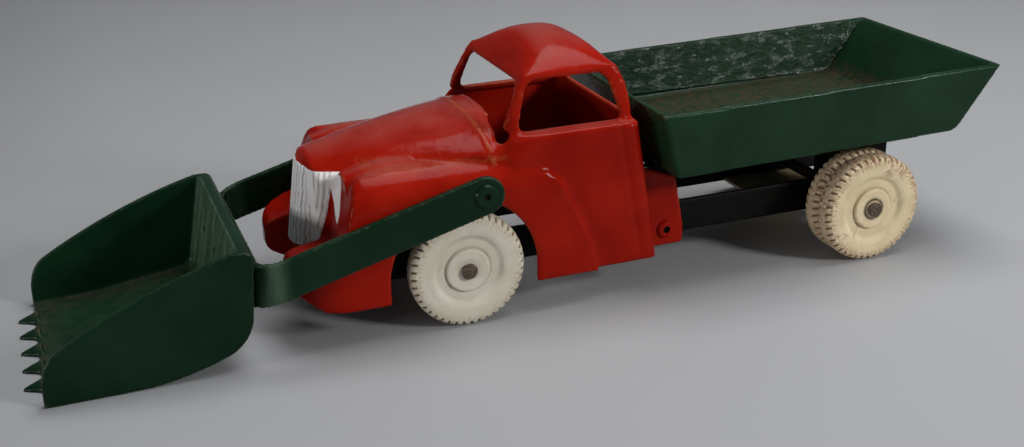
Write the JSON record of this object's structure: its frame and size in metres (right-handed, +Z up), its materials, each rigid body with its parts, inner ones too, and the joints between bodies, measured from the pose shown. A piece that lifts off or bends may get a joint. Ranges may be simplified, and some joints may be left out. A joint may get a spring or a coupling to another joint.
{
  "type": "toy front loader truck",
  "caption": "Cast toy truck with dual rear wheels, an overshot loader bucket on long arms and a tipping tray",
  "frame": {"origin": "on the ground under the middle of the truck's length and width", "axes": "+X forward to the bucket's teeth along the truck's length, +Y to the driver's left, +Z up"},
  "size_m": [0.4968, 0.1282, 0.1291],
  "materials": {
    "red_paint": "thick red enamel on a casting, worn pale along its crests, with silver paint on the grille and lamps",
    "black_paint": "worn black enamel on pressed strip",
    "tray_paint": "rough dark green enamel, rubbed brown on the floor",
    "loader_paint": "green enamel, scuffed to bare metal at the edges",
    "white_rubber": "aged white rubber with brown dirt in the notches",
    "bare_plate": "bare tan steel with light rust",
    "axle_steel": "rusty steel with hammered ends",
    "rivet_steel": "dull steel rivets and pins"
  },
  "bodies": {
    "chassis": {"cab_casting": "red_paint", "cab_pins": "red_paint", "chassis_rail_left": "black_paint", "chassis_rail_right": "black_paint", "chassis_rivets": "rivet_steel", "cross_plate": "bare_plate", "front_axle": "axle_steel", "front_spacer_left": "rivet_steel", "front_spacer_right": "rivet_steel", "hinge_bracket_left": "black_paint", "hinge_bracket_right": "black_paint", "nose_plate": "black_paint", "pivot_rivet_left": "loader_paint", "pivot_rivet_right": "loader_paint", "rear_axle": "axle_steel", "rear_spacer_left": "rivet_steel", "rear_spacer_right": "rivet_steel", "tray_hinge_pin": "rivet_steel", "tray_rest": "black_paint"},
    "loader": {"loader_yoke": "loader_paint", "bucket": "loader_paint", "bucket_rivets": "loader_paint"},
    "tray_body": {"tray": "tray_paint"},
    "front_wheel_left_body": {"front_wheel_left": "white_rubber"},
    "front_wheel_right_body": {"front_wheel_right": "white_rubber"},
    "rear_inner_wheel_left_body": {"rear_inner_wheel_left": "white_rubber"},
    "rear_inner_wheel_right_body": {"rear_inner_wheel_right": "white_rubber"},
    "rear_outer_wheel_left_body": {"rear_outer_wheel_left": "white_rubber"},
    "rear_outer_wheel_right_body": {"rear_outer_wheel_right": "white_rubber"}
  },
  "joints": [
    {"name": "loader_lift", "type": "hinge", "parent": "chassis", "child": "loader", "pos_m": [0.03774, 0, 0.0664], "axis": [0, -1, 0], "range_deg": [0, 145]},
    {"name": "tray_tip", "type": "hinge", "parent": "chassis", "child": "tray_body", "pos_m": [-0.19726, 0, 0.0545], "axis": [0, -1, 0], "range_deg": [0, 45]},
    {"name": "front_wheel_left_spin", "type": "hinge", "parent": "chassis", "child": "front_wheel_left_body", "pos_m": [0.04574, 0, 0.0285], "axis": [0, 1, 0], "continuous": true},
    {"name": "front_wheel_right_spin", "type": "hinge", "parent": "chassis", "child": "front_wheel_right_body", "pos_m": [0.04574, 0, 0.0285], "axis": [0, 1, 0], "continuous": true},
    {"name": "rear_inner_wheel_left_spin", "type": "hinge", "parent": "chassis", "child": "rear_inner_wheel_left_body", "pos_m": [-0.17446, 0, 0.0285], "axis": [0, 1, 0], "continuous": true},
    {"name": "rear_inner_wheel_right_spin", "type": "hinge", "parent": "chassis", "child": "rear_inner_wheel_right_body", "pos_m": [-0.17446, 0, 0.0285], "axis": [0, 1, 0], "continuous": true},
    {"name": "rear_outer_wheel_left_spin", "type": "hinge", "parent": "chassis", "child": "rear_outer_wheel_left_body", "pos_m": [-0.17446, 0, 0.0285], "axis": [0, 1, 0], "continuous": true},
    {"name": "rear_outer_wheel_right_spin", "type": "hinge", "parent": "chassis", "child": "rear_outer_wheel_right_body", "pos_m": [-0.17446, 0, 0.0285], "axis": [0, 1, 0], "continuous": true}
  ]
}
